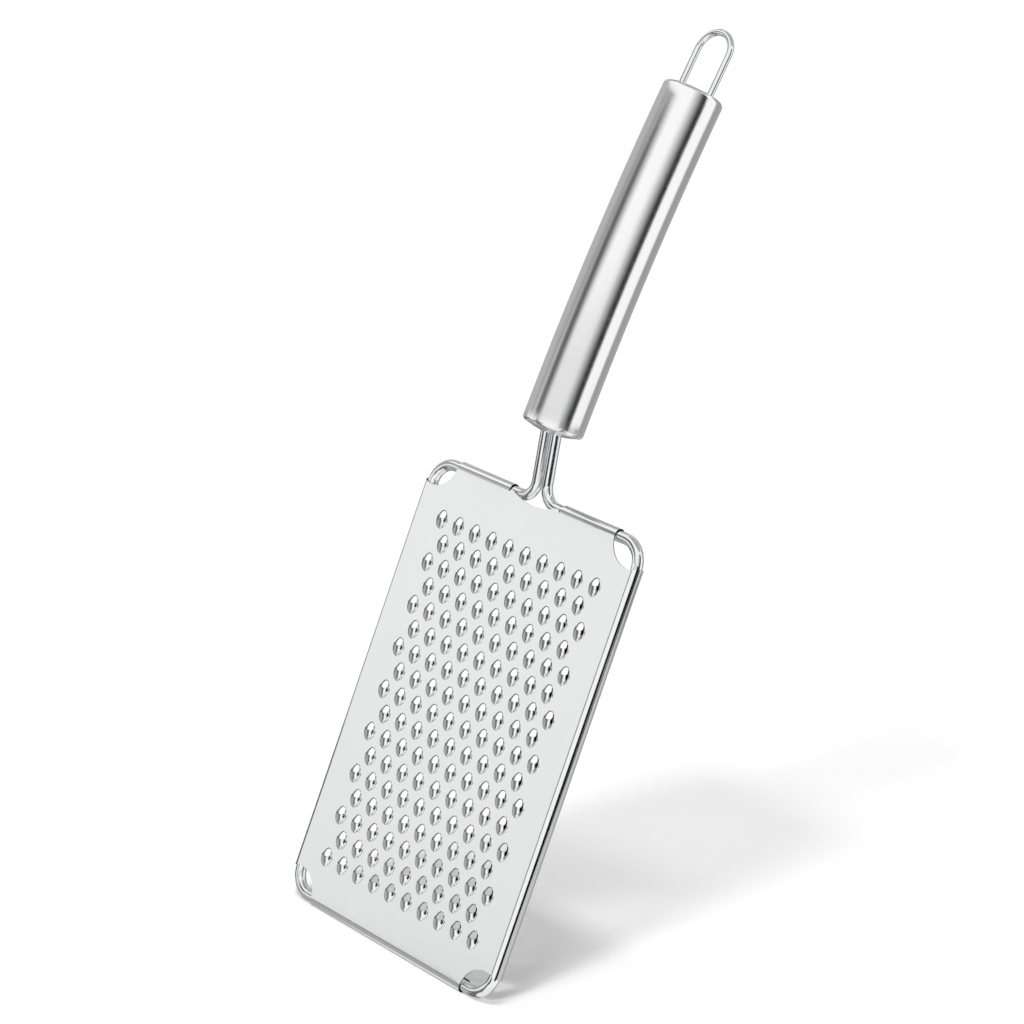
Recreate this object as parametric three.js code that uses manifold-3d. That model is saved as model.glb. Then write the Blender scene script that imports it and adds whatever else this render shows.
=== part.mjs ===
// Flat hand grater: a punched steel sheet hemmed round a bent wire frame, with a bowed tube handle
// and a wire loop to hang it by. Millimetres. +Z runs up the grater towards the loop, +X to the right,
// and the grating face looks along -Y. The origin is the point inside the loop where a hook bears.
import * as THREE from 'three';
import { mergeGeometries, mergeVertices } from 'three/addons/utils/BufferGeometryUtils.js';
import Module from 'manifold-3d';

const wasm = await Module();
wasm.setup();

// Frame wire and its neck
const WIRE_DIAMETER = 3.8;
const CORNER_BEND_RADIUS = 8;
const NECK_BEND_RADIUS = 6.5;
const NECK_GAP = 0.3;
const NECK_LEAN = THREE.MathUtils.degToRad(13);
const NECK_LENGTH = 24.3;
const NECK_INSERT = 9;

// Sheet and its hems, measured over the hems
const PLATE_WIDTH = 104;
const PLATE_HEIGHT = 158;
const SHEET_THICKNESS = 0.35;
const HEM_CLEARANCE = 0.1;
const HEM_WRAP = THREE.MathUtils.degToRad(240);
const CORNER_NOTCH_MARGIN = 1.3;
const CORNER_NOTCH_INSET_X = 4.6;
const CORNER_NOTCH_INSET_Z = 1.5;
const TOP_GAP_MARGIN = 4.3;
const TOP_NOTCH_DEPTH = 4;

// Teeth: an oval hole whose lower half is pushed out as a hood with its lip facing up
const TOOTH_LENGTH = 7;
const TOOTH_WIDTH = 3.6;
const TOOTH_HEIGHT = 1.5;
const LIP_RISE = 0.5;
const COLUMN_PITCH = 8.3;
const ROW_PITCH = 7.5;
const TEETH_SIDE_MARGIN = 14;
const TEETH_TOP_MARGIN = 19.2;
const TEETH_BOTTOM_MARGIN = 17;

// Handle tube, bowed with its convex side to the front
const HANDLE_DIAMETER = 20.8;
const HANDLE_LENGTH = 118.5;
const HANDLE_WALL = 0.8;
const HANDLE_END_ROUND = 1.5;
const HANDLE_LEAN = THREE.MathUtils.degToRad(2.5);
const HANDLE_BOW_RADIUS = 1050;

// End caps
const CAP_SHOULDER = 1;
const CAP_FLANGE = 1;

// Hanging loop
const LOOP_WIRE_DIAMETER = 2.2;
const LOOP_HEIGHT = 22.2;
const LOOP_INSERT = 5;
const LOOP_EDGE_MARGIN = 0.55;

// Weld beads: the one in the neck's groove is given by its rise above the top run of the wire
const WELD_LEG = 1.5;
const NECK_WELD_LENGTH = 5;
const NECK_WELD_WIDTH = 2.8;
const NECK_WELD_DEPTH = 1.7;
const NECK_WELD_RISE = 8;

// Clearances between fitted pieces, and between a piece and the face that it rests on
const FIT_CLEARANCE = 0.15;
const REST_GAP = 0.3;

// Facets
const WIRE_SIDES = 10;
const LOOP_SIDES = 8;
const TUBE_SIDES = 24;
const HOOD_SIDES = 8;
const HOLLOW_SIDES = 4;
const BEND_STEPS = 5;
const CROWN_STEPS = 10;
const HEM_STEPS = 10;
const BOW_STEPS = 8;
const ROUND_STEPS = 3;
const OPENING_STEPS = 4;
const NOTCH_SIDES = 48;
const TOP_NOTCH_SIDES = 96;

// Worked out from the sizes above
const wireRadius = WIRE_DIAMETER / 2;
const hemInner = (wireRadius + HEM_CLEARANCE) / Math.cos(HEM_WRAP / HEM_STEPS / 2);
const hemOuter = hemInner + SHEET_THICKNESS;
const sheetFront = -hemOuter;
const sheetBack = -hemInner;
const wireX = PLATE_WIDTH / 2 - hemOuter;
const wireZ = PLATE_HEIGHT / 2 - hemOuter;
const neckX = (WIRE_DIAMETER + NECK_GAP) / 2;
const topGapHalf = neckX + NECK_BEND_RADIUS + TOP_GAP_MARGIN;
const neckDirection = new THREE.Vector3(0, -Math.sin(NECK_LEAN), Math.cos(NECK_LEAN));
const neckFoot = new THREE.Vector3(0, 0, wireZ);
const handleFoot = neckFoot.clone().addScaledVector(neckDirection, NECK_LENGTH);
const handleRadius = HANDLE_DIAMETER / 2;
const lipRadius = handleRadius - HANDLE_END_ROUND;
const capRadius = lipRadius - FIT_CLEARANCE;
const flangeRadius = handleRadius - HANDLE_WALL - FIT_CLEARANCE;
const capDepth = HANDLE_END_ROUND + CAP_SHOULDER + CAP_FLANGE;
const loopRadius = LOOP_WIRE_DIAMETER / 2;
const loopX = capRadius - LOOP_EDGE_MARGIN - FIT_CLEARANCE - loopRadius;

// Booleans

function solid(geometry) {
  const bare = geometry.clone();
  bare.deleteAttribute('normal');
  bare.deleteAttribute('uv');
  const welded = mergeVertices(bare);
  const corners = welded.index.array;
  const triVerts = [];
  for (let i = 0; i < corners.length; i += 3) {
    const [a, b, c] = corners.slice(i, i + 3);
    if (a !== b && b !== c && c !== a) triVerts.push(a, b, c);
  }
  return new wasm.Manifold(new wasm.Mesh({
    numProp: 3,
    vertProperties: welded.attributes.position.array,
    triVerts: new Uint32Array(triVerts),
  }));
}

function geometryOf(body) {
  const { vertProperties, triVerts } = body.getMesh();
  const geometry = new THREE.BufferGeometry();
  geometry.setAttribute('position', new THREE.BufferAttribute(vertProperties, 3));
  geometry.setIndex(new THREE.BufferAttribute(triVerts, 1));
  geometry.computeVertexNormals();
  return geometry;
}

function copiesAt(body, places) {
  const one = geometryOf(body);
  return solid(mergeGeometries(places.map(({ x, z }) => one.clone().translate(x, 0, z))));
}

// Turns a profile of radius and height about Z
function turned(profile, sides) {
  return new THREE.LatheGeometry(profile, sides).rotateX(Math.PI / 2);
}

// Rods: a round section swept through stations, which are close together only in the bends

class RodPath extends THREE.Curve {
  constructor(stations) {
    super();
    this.stations = stations;
  }

  getUtoTmapping(u) {
    return u;
  }

  getPoint(t, target = new THREE.Vector3()) {
    return target.copy(this.stations[Math.round(t * (this.stations.length - 1))]);
  }

  getTangent(t, target = new THREE.Vector3()) {
    const last = this.stations.length - 1;
    const i = Math.round(t * last);
    const here = this.stations[i];
    const before = here.clone().sub(this.stations[Math.max(i - 1, 0)]).normalize();
    const after = this.stations[Math.min(i + 1, last)].clone().sub(here).normalize();
    return target.copy(before).add(after).normalize();
  }
}

// Stations along straight runs between corner points, with a round bend at each inner corner
function bentStations(corners, bendRadii, steps) {
  const stations = [corners[0]];
  for (let i = 1; i < corners.length - 1; i += 1) {
    const back = corners[i - 1].clone().sub(corners[i]).normalize();
    const ahead = corners[i + 1].clone().sub(corners[i]).normalize();
    const opening = back.angleTo(ahead);
    const radius = bendRadii[i - 1];
    const centre = back.clone().add(ahead).setLength(radius / Math.sin(opening / 2)).add(corners[i]);
    const arm = back.clone().multiplyScalar(radius / Math.tan(opening / 2)).add(corners[i]).sub(centre);
    const axis = ahead.clone().cross(back).normalize();
    for (let k = 0; k <= steps; k += 1) {
      const turn = ((Math.PI - opening) * k) / steps;
      stations.push(arm.clone().applyAxisAngle(axis, turn).add(centre));
    }
  }
  stations.push(corners[corners.length - 1]);
  return stations;
}

function ringPoints(radius, sides) {
  return Array.from({ length: sides }, (_, i) => {
    const angle = (2 * Math.PI * i) / sides;
    return new THREE.Vector2(radius * Math.cos(angle), radius * Math.sin(angle));
  });
}

function rod(stations, radius, sides) {
  return new THREE.ExtrudeGeometry(new THREE.Shape(ringPoints(radius, sides)), {
    extrudePath: new RodPath(stations),
    steps: stations.length - 1,
  });
}

// Frame wire: handle, neck, round the plate and back up the neck

function frameWire() {
  const end = handleFoot.clone().addScaledVector(neckDirection, NECK_INSERT);
  const corners = [
    new THREE.Vector3(-neckX, end.y, end.z),
    new THREE.Vector3(-neckX, 0, wireZ),
    new THREE.Vector3(-wireX, 0, wireZ),
    new THREE.Vector3(-wireX, 0, -wireZ),
    new THREE.Vector3(wireX, 0, -wireZ),
    new THREE.Vector3(wireX, 0, wireZ),
    new THREE.Vector3(neckX, 0, wireZ),
    new THREE.Vector3(neckX, end.y, end.z),
  ];
  const corner = CORNER_BEND_RADIUS;
  const radii = [NECK_BEND_RADIUS, corner, corner, corner, corner, NECK_BEND_RADIUS];
  return rod(bentStations(corners, radii, BEND_STEPS), wireRadius, WIRE_SIDES);
}

// Grating plate

// A hem rolled from the front face round the outside of the wire to its back, centred on its length.
// It rolls towards +X here, and starts with a tongue that laps into the sheet.
function hem(length) {
  const tongue = hemOuter;
  const outline = [new THREE.Vector2(-tongue, sheetFront)];
  const arc = (radius, i) => {
    const angle = (HEM_WRAP * i) / HEM_STEPS;
    return new THREE.Vector2(radius * Math.sin(angle), -radius * Math.cos(angle));
  };
  for (let i = 0; i <= HEM_STEPS; i += 1) outline.push(arc(hemOuter, i));
  for (let i = HEM_STEPS; i >= 0; i -= 1) outline.push(arc(hemInner, i));
  outline.push(new THREE.Vector2(-tongue, sheetBack));
  const options = { depth: length, bevelEnabled: false };
  return new THREE.ExtrudeGeometry(new THREE.Shape(outline), options).translate(0, 0, -length / 2);
}

function flatSheet() {
  const outline = [
    new THREE.Vector2(-wireX, sheetFront),
    new THREE.Vector2(wireX, sheetFront),
    new THREE.Vector2(wireX, sheetBack),
    new THREE.Vector2(-wireX, sheetBack),
  ];
  const options = { depth: 2 * wireZ, bevelEnabled: false };
  return new THREE.ExtrudeGeometry(new THREE.Shape(outline), options).translate(0, 0, -wireZ);
}

function hemmedSheet() {
  const quarter = Math.PI / 2;
  const topLength = wireX - topGapHalf;
  const topMiddle = (wireX + topGapHalf) / 2;
  const hems = [
    hem(2 * wireZ).translate(wireX, 0, 0),
    hem(2 * wireZ).rotateY(2 * quarter).translate(-wireX, 0, 0),
    hem(2 * wireX).rotateY(quarter).translate(0, 0, -wireZ),
    hem(topLength).rotateY(-quarter).translate(-topMiddle, 0, wireZ),
    hem(topLength).rotateY(-quarter).translate(topMiddle, 0, wireZ),
  ];
  const drill = 4 * hemOuter;
  let sheet = solid(flatSheet());
  const cornerRadius = CORNER_BEND_RADIUS + CORNER_NOTCH_MARGIN;
  const cornerX = PLATE_WIDTH / 2 - CORNER_NOTCH_INSET_X;
  const cornerZ = PLATE_HEIGHT / 2 - CORNER_NOTCH_INSET_Z;
  const corner = solid(new THREE.CylinderGeometry(cornerRadius, cornerRadius, drill, NOTCH_SIDES));
  const notches = [-1, 1].flatMap((i) => [-1, 1].map((k) => ({ x: i * cornerX, z: k * cornerZ })));
  hems.forEach((piece) => {
    sheet = sheet.add(solid(piece));
  });
  const topRadius = (topGapHalf ** 2 + TOP_NOTCH_DEPTH ** 2) / (2 * TOP_NOTCH_DEPTH);
  const topCentre = PLATE_HEIGHT / 2 - TOP_NOTCH_DEPTH + topRadius;
  const topNotch = new THREE.CylinderGeometry(topRadius, topRadius, drill, TOP_NOTCH_SIDES);
  return sheet.subtract(copiesAt(corner, notches)).subtract(solid(topNotch.translate(0, 0, topCentre)));
}

// A blunt bullet lying along Z with its foot down, which half sinks into the sheet
function bullet(halfWidth, depth, foot, top, sides) {
  const shoulder = THREE.MathUtils.degToRad(50);
  const profile = [
    new THREE.Vector2(0, -foot),
    new THREE.Vector2(halfWidth * Math.sin(shoulder), -foot * Math.cos(shoulder)),
    new THREE.Vector2(halfWidth, top),
    new THREE.Vector2(0, top),
  ];
  return turned(profile, sides).scale(1, depth / halfWidth, 1);
}

// The hood of one tooth, from the middle of the sheet outwards
function toothHood() {
  const reach = 2 * TOOTH_HEIGHT;
  const middle = (sheetFront + sheetBack) / 2;
  const depth = TOOTH_HEIGHT + SHEET_THICKNESS;
  const top = LIP_RISE + SHEET_THICKNESS;
  const hood = bullet(TOOTH_WIDTH / 2, depth, TOOTH_LENGTH / 2, top, HOOD_SIDES);
  const behind = new THREE.BoxGeometry(2 * TOOTH_WIDTH, reach, 2 * TOOTH_LENGTH);
  behind.translate(0, middle + reach / 2, 0);
  return solid(hood.translate(0, sheetBack, 0)).subtract(solid(behind));
}

// What is cut away at one tooth: the open upper half of the oval and the hollow under the hood
function toothCut() {
  const halfWidth = TOOTH_WIDTH / 2;
  const halfLength = TOOTH_LENGTH / 2;
  const start = Math.asin(LIP_RISE / halfLength);
  const outline = Array.from({ length: OPENING_STEPS + 1 }, (_, i) => {
    const angle = start + ((Math.PI - 2 * start) * i) / OPENING_STEPS;
    return new THREE.Vector2(halfWidth * Math.cos(angle), halfLength * Math.sin(angle));
  });
  const depth = 4 * (TOOTH_HEIGHT + SHEET_THICKNESS);
  const opening = new THREE.ExtrudeGeometry(new THREE.Shape(outline), { depth, bevelEnabled: false });
  opening.rotateX(Math.PI / 2).translate(0, sheetFront + depth / 2, 0);
  const wall = SHEET_THICKNESS;
  const hollowDepth = TOOTH_HEIGHT + wall / 2;
  const hollow = bullet(halfWidth - wall, hollowDepth, halfLength - wall, LIP_RISE + wall, HOLLOW_SIDES);
  return solid(opening).add(solid(hollow.translate(0, sheetBack + wall / 2, 0)));
}

function teethPlaces() {
  const fieldX = PLATE_WIDTH - 2 * TEETH_SIDE_MARGIN;
  const fieldZ = PLATE_HEIGHT - TEETH_TOP_MARGIN - TEETH_BOTTOM_MARGIN;
  const columns = 1 + Math.floor(fieldX / COLUMN_PITCH);
  const rows = 1 + Math.floor(fieldZ / ROW_PITCH);
  const middleZ = (TEETH_BOTTOM_MARGIN - TEETH_TOP_MARGIN) / 2;
  const places = [];
  for (let row = 0; row < rows; row += 1) {
    const inRow = columns - (row % 2);
    for (let column = 0; column < inRow; column += 1) {
      const x = (column - (inRow - 1) / 2) * COLUMN_PITCH;
      places.push({ x, z: middleZ + ((rows - 1) / 2 - row) * ROW_PITCH });
    }
  }
  return places;
}

function gratingPlate() {
  const places = teethPlaces();
  const hoods = copiesAt(toothHood(), places);
  const cuts = copiesAt(toothCut(), places);
  return geometryOf(hemmedSheet().add(hoods).subtract(cuts));
}

// Handle pieces are drawn straight, with Z from the tube's lower end, and then laid along its bow

function handleStation(distance) {
  const along = THREE.MathUtils.clamp(distance, 0, HANDLE_LENGTH);
  const lean = HANDLE_LEAN + along / HANDLE_BOW_RADIUS;
  const direction = new THREE.Vector3(0, Math.sin(lean), Math.cos(lean));
  const point = new THREE.Vector3(
    0,
    HANDLE_BOW_RADIUS * (Math.cos(HANDLE_LEAN) - Math.cos(lean)),
    HANDLE_BOW_RADIUS * (Math.sin(lean) - Math.sin(HANDLE_LEAN)),
  );
  point.add(handleFoot).addScaledVector(direction, distance - along);
  return { point, lean };
}

function onHandle(straight) {
  const { point, lean } = handleStation(straight.z);
  const back = new THREE.Vector3(0, Math.cos(lean), -Math.sin(lean));
  return point.addScaledVector(back, straight.y).add(new THREE.Vector3(straight.x, 0, 0));
}

function layOnHandle(geometry) {
  const position = geometry.attributes.position;
  for (let i = 0; i < position.count; i += 1) {
    const placed = onHandle(new THREE.Vector3().fromBufferAttribute(position, i));
    position.setXYZ(i, placed.x, placed.y, placed.z);
  }
  return geometry;
}

// A quarter round from one angle to the next, about a centre given as radius and height
function quarterRound(centreRadius, centreHeight, radius, from, to) {
  return Array.from({ length: ROUND_STEPS + 1 }, (_, i) => {
    const angle = from + ((to - from) * i) / ROUND_STEPS;
    const across = centreRadius + radius * Math.cos(angle);
    return new THREE.Vector2(across, centreHeight + radius * Math.sin(angle));
  });
}

function straightRun(radius, from, to) {
  return Array.from({ length: BOW_STEPS - 1 }, (_, i) => {
    const share = (i + 1) / BOW_STEPS;
    return new THREE.Vector2(radius, from + (to - from) * share);
  });
}

function handleTube() {
  const low = HANDLE_END_ROUND;
  const high = HANDLE_LENGTH - HANDLE_END_ROUND;
  const inner = HANDLE_END_ROUND - HANDLE_WALL;
  const quarter = Math.PI / 2;
  const profile = [
    ...quarterRound(lipRadius, low, HANDLE_END_ROUND, -quarter, 0),
    ...straightRun(handleRadius, low, high),
    ...quarterRound(lipRadius, high, HANDLE_END_ROUND, 0, quarter),
    ...quarterRound(lipRadius, high, inner, quarter, 0),
    ...straightRun(handleRadius - HANDLE_WALL, high, low),
    ...quarterRound(lipRadius, low, inner, 0, -quarter),
  ];
  profile.push(profile[0].clone());
  return layOnHandle(turned(profile, TUBE_SIDES));
}

// A cap's profile from its outer face inwards: the disc in the lip, a shoulder, and a flange behind it
function capDisc() {
  const neck = HANDLE_END_ROUND;
  const shoulder = HANDLE_END_ROUND + CAP_SHOULDER;
  return turned([
    new THREE.Vector2(0, 0),
    new THREE.Vector2(capRadius, 0),
    new THREE.Vector2(capRadius, neck),
    new THREE.Vector2(flangeRadius, shoulder),
    new THREE.Vector2(flangeRadius, capDepth),
    new THREE.Vector2(0, capDepth),
  ], TUBE_SIDES);
}

// An oblong outline round two rods that stand side by side
function pairOutline(radius) {
  const shape = new THREE.Shape();
  shape.absarc(neckX, 0, radius, -Math.PI / 2, Math.PI / 2);
  shape.absarc(-neckX, 0, radius, Math.PI / 2, (3 * Math.PI) / 2);
  return shape;
}

function pairBlock(radius, depth) {
  const options = { depth, bevelEnabled: false, curveSegments: BEND_STEPS };
  return new THREE.ExtrudeGeometry(pairOutline(radius), options);
}

// The slanting oblong hole that the neck takes through the lower cap and its weld
function neckSlot() {
  const depth = 2 * (NECK_INSERT + capDepth);
  const slot = pairBlock(wireRadius + FIT_CLEARANCE, depth).translate(0, 0, -depth / 2);
  return solid(slot.rotateX(NECK_LEAN).translate(handleFoot.x, handleFoot.y, handleFoot.z));
}

function lowerEndCap() {
  return geometryOf(solid(layOnHandle(capDisc())).subtract(neckSlot()));
}

function wireWeld() {
  const bead = pairBlock(wireRadius + WELD_LEG, WELD_LEG).translate(0, 0, capDepth + REST_GAP);
  return geometryOf(solid(layOnHandle(bead)).subtract(neckSlot()));
}

function upperEndCap() {
  const disc = capDisc().rotateX(Math.PI).translate(0, 0, HANDLE_LENGTH);
  const radius = loopRadius + FIT_CLEARANCE;
  let cap = solid(layOnHandle(disc));
  [-loopX, loopX].forEach((x) => {
    const hole = new THREE.CylinderGeometry(radius, radius, 4 * capDepth, LOOP_SIDES);
    cap = cap.subtract(solid(layOnHandle(hole.rotateX(Math.PI / 2).translate(x, 0, HANDLE_LENGTH))));
  });
  return geometryOf(cap);
}

const crownHeight = HANDLE_LENGTH + LOOP_HEIGHT - loopRadius - loopX;

function hangingLoop() {
  const low = HANDLE_LENGTH - capDepth - LOOP_INSERT;
  const stations = [new THREE.Vector3(-loopX, 0, low), new THREE.Vector3(-loopX, 0, HANDLE_LENGTH)];
  for (let i = 0; i <= CROWN_STEPS; i += 1) {
    const angle = Math.PI * (1 - i / CROWN_STEPS);
    stations.push(new THREE.Vector3(loopX * Math.cos(angle), 0, crownHeight + loopX * Math.sin(angle)));
  }
  stations.push(new THREE.Vector3(loopX, 0, HANDLE_LENGTH), new THREE.Vector3(loopX, 0, low));
  return rod(stations.map(onHandle), loopRadius, LOOP_SIDES);
}

// A collar of weld round one leg of the loop, against the inside of the upper cap and within its flange
function loopWeld(x) {
  const high = HANDLE_LENGTH - capDepth - REST_GAP;
  const low = high - WELD_LEG;
  const inner = loopRadius + FIT_CLEARANCE;
  const outer = flangeRadius - loopX - FIT_CLEARANCE;
  const profile = [
    new THREE.Vector2(inner, low),
    new THREE.Vector2((inner + outer) / 2, low),
    new THREE.Vector2(outer, (low + high) / 2),
    new THREE.Vector2(outer, high),
    new THREE.Vector2(inner, high),
    new THREE.Vector2(inner, low),
  ];
  return layOnHandle(turned(profile, LOOP_SIDES).translate(x, 0, 0));
}

// The bead in the front groove between the neck legs, drawn upright at the foot of the neck
function neckWeld() {
  const bead = new THREE.SphereGeometry(1, LOOP_SIDES, LOOP_SIDES).rotateX(Math.PI / 2);
  bead.scale(NECK_WELD_WIDTH / 2, NECK_WELD_DEPTH / 2, NECK_WELD_LENGTH / 2);
  let weld = solid(bead.translate(0, NECK_WELD_DEPTH / 2 - hemOuter, NECK_WELD_RISE));
  [-neckX, neckX].forEach((x) => {
    const radius = wireRadius + FIT_CLEARANCE;
    const leg = new THREE.CylinderGeometry(radius, radius, 3 * NECK_WELD_LENGTH, WIRE_SIDES);
    weld = weld.subtract(solid(leg.rotateX(Math.PI / 2).translate(x, 0, NECK_WELD_RISE)));
  });
  return geometryOf(weld).rotateX(NECK_LEAN).translate(neckFoot.x, neckFoot.y, neckFoot.z);
}

// Finishes
const finish = {
  sheet: { color: 0xe4e5e6, roughness: 0.32, metalness: 1 },
  polished: { color: 0xd0d2d4, roughness: 0.12, metalness: 1 },
  brushed: { color: 0xc4c6c8, roughness: 0.34, metalness: 1 },
  weld: { color: 0xa6a8aa, roughness: 0.5, metalness: 1 },
};

const grater = new THREE.Group();

function addPiece(name, geometry, look) {
  const piece = new THREE.Mesh(geometry, new THREE.MeshStandardMaterial(look));
  piece.name = name;
  grater.add(piece);
}

addPiece('grating_plate', gratingPlate(), finish.sheet);
addPiece('frame_wire', frameWire(), finish.polished);
addPiece('handle_tube', handleTube(), finish.brushed);
addPiece('lower_end_cap', lowerEndCap(), finish.brushed);
addPiece('upper_end_cap', upperEndCap(), finish.brushed);
addPiece('hanging_loop', hangingLoop(), finish.polished);
addPiece('neck_weld', neckWeld(), finish.weld);
addPiece('wire_weld', wireWeld(), finish.weld);
addPiece('loop_weld_left', loopWeld(-loopX), finish.weld);
addPiece('loop_weld_right', loopWeld(loopX), finish.weld);

// The hook bears on the inside of the loop's crown, which becomes the origin
const hook = onHandle(new THREE.Vector3(0, 0, HANDLE_LENGTH + LOOP_HEIGHT - LOOP_WIRE_DIAMETER));
grater.position.copy(hook).negate();

const part = new THREE.Group();
part.add(grater);

export default part;
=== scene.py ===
# %% [markdown]
# # Flat hand grater
# This kitchen grater is one punched steel sheet, hemmed round a frame of bent wire. The two ends of the
# wire run up side by side into a bowed steel tube, which is the handle, and a small wire loop in its
# top hangs it up. The solids of these pieces are already modelled to size, so the lesson starts by
# loading them. Everything that follows is built round them, in metres and in the same place.

# %% Load the solids
import math
from collections import namedtuple

import bmesh
import bpy
from mathutils import Matrix, Vector


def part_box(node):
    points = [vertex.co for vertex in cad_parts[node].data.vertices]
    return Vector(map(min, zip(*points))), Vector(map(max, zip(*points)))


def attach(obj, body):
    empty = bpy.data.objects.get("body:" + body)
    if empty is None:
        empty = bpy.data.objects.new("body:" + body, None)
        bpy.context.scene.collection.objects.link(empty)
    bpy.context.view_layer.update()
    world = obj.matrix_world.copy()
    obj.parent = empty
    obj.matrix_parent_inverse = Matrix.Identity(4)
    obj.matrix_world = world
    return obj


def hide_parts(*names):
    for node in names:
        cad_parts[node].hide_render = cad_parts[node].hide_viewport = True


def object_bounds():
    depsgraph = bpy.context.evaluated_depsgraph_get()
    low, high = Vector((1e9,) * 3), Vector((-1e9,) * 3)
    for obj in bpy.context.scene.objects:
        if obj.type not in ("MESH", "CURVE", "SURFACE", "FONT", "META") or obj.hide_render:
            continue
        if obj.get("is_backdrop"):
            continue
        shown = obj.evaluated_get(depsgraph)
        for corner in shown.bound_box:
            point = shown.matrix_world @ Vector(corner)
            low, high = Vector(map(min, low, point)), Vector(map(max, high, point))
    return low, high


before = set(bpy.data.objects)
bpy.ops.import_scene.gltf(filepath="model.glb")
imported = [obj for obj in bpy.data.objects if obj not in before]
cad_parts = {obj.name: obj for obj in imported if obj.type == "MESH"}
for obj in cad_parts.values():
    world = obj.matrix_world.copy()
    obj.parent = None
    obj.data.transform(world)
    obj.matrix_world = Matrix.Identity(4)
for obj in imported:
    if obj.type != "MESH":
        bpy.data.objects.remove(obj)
solid_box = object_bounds()
print("Solids:", ", ".join(sorted(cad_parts)))

# %% [markdown]
# ## A drawing frame for the sheet
# The grater hangs from its loop, so the shared origin lies far above the sheet. A sheet-metal worker
# would measure from the middle of the sheet instead, in millimetres, with the centre line of the wire
# as the zero of depth. One matrix turns that drawing into metres in the shared frame, and its place
# comes from the solids' boxes.

# %% The drawing frame
MM = 0.001
WIRE_RADIUS = 1.9
sheet_low, sheet_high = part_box("grating_plate")
wire_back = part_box("frame_wire")[1].y
sheet_middle = Vector((0, wire_back - WIRE_RADIUS * MM, (sheet_low.z + sheet_high.z) / 2))
DRAWING_TO_FRAME = Matrix.Translation(sheet_middle) @ Matrix.Scale(MM, 4)
HALF_WIDTH = sheet_high.x / MM
HALF_HEIGHT = (sheet_high.z - sheet_low.z) / 2 / MM
print(f"Sheet over its hems: {2 * HALF_WIDTH:.1f} x {2 * HALF_HEIGHT:.1f} mm")

# %% [markdown]
# ## The camera
# The photograph looks at the grating face from its right and a little from above, through a long lens,
# and the grater leans to the right in it. The lean could be given to the object, but then nothing would
# line up with the solids any more, so the camera is rolled instead. Its aim and distance are in the
# drawing's millimetres, and the lens follows from the focal length in pixels.

# %% Place the camera
PHOTO_PIXELS = 1024
FOCAL_PIXELS = 3500
SENSOR_WIDTH = 36
CAMERA_AIM = Vector((0, -10.54, 71.16))
CAMERA_AZIMUTH = math.radians(44.03)
CAMERA_ELEVATION = math.radians(4.75)
CAMERA_DISTANCE = 1129.9
CAMERA_ROLL = math.radians(18.93)
CAMERA_SIGHT = 100


def direction(azimuth, elevation):
    """A unit vector that points away from the sheet: azimuth 0 is straight out of the grating face."""
    level = math.cos(elevation)
    return Vector((math.sin(azimuth) * level, -math.cos(azimuth) * level, math.sin(elevation)))


towards_camera = direction(CAMERA_AZIMUTH, CAMERA_ELEVATION)
camera_data = bpy.data.cameras.new("camera")
camera_data.sensor_width = SENSOR_WIDTH
camera_data.lens = SENSOR_WIDTH * FOCAL_PIXELS / PHOTO_PIXELS
camera_data.clip_end = CAMERA_SIGHT
camera = bpy.data.objects.new("camera", camera_data)
camera.location = DRAWING_TO_FRAME @ (CAMERA_AIM + CAMERA_DISTANCE * towards_camera)
upright = (-towards_camera).to_track_quat("-Z", "Y").to_matrix()
camera.rotation_euler = (upright @ Matrix.Rotation(CAMERA_ROLL, 3, "Z")).to_euler()
bpy.context.scene.collection.objects.link(camera)
bpy.context.scene.camera = camera
print(f"Lens {camera_data.lens:.1f} mm, camera at {[round(c, 3) for c in camera.location]} m")

# %% [markdown]
# ## From a drawing to a piece
# Every piece is drawn with mesh operators in the drawing frame. The same few steps then make each an
# object: the drawing is moved into the shared frame, shaded smooth but for its true edges, tied to the
# grater's one body and named, and the solids that it stands for are hidden. The object itself stays at
# the origin, so its place is in its mesh.

# %% Make a piece of a drawing
SHARP_EDGE = math.radians(60)


def add_piece(name, shape, material, slot, *nodes):
    """Turns a drawing into a piece of the grater that stands for the solids named last."""
    bmesh.ops.transform(shape, matrix=DRAWING_TO_FRAME, verts=shape.verts)
    mesh = bpy.data.meshes.new(name)
    shape.to_mesh(mesh)
    shape.free()
    mesh.shade_smooth()
    mesh.materials.append(material)
    piece = bpy.data.objects.new(name, mesh)
    bpy.context.scene.collection.objects.link(piece)
    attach(piece, "root")
    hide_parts(*nodes)
    print(f"{name}: {len(mesh.polygons)} faces")
    return piece


def mark_true_edges(shape):
    """Keeps the edges between faces that meet at a clear angle sharp when the piece is shaded."""
    for edge in shape.edges:
        if len(edge.link_faces) == 2 and edge.calc_face_angle() > SHARP_EDGE:
            edge.smooth = False


print(f"Edges stay sharp from {math.degrees(SHARP_EDGE):.0f} degrees on")

# %% [markdown]
# ## Materials
# Each finish is a small tree of nodes. One function adds a node with its settings and links, and
# another turns the hex colours that people write into the linear ones that light is worked out in. The
# patterns read Object coordinates through a Mapping node of type Texture, which divides by its scale:
# so that scale is simply the real size of one streak or speck, in metres. The steels all end alike: a
# pattern shifts their gloss and dents them.

# %% Nodes and colours
def linear(hex_code):
    """The linear colour of an sRGB hex code such as #C0C0C0."""
    channels = [int(hex_code[i:i + 2], 16) / 255 for i in (1, 3, 5)]
    bright = [((c + 0.055) / 1.055) ** 2.4 if c > 0.04045 else c / 12.92 for c in channels]
    return (*bright, 1)


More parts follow.
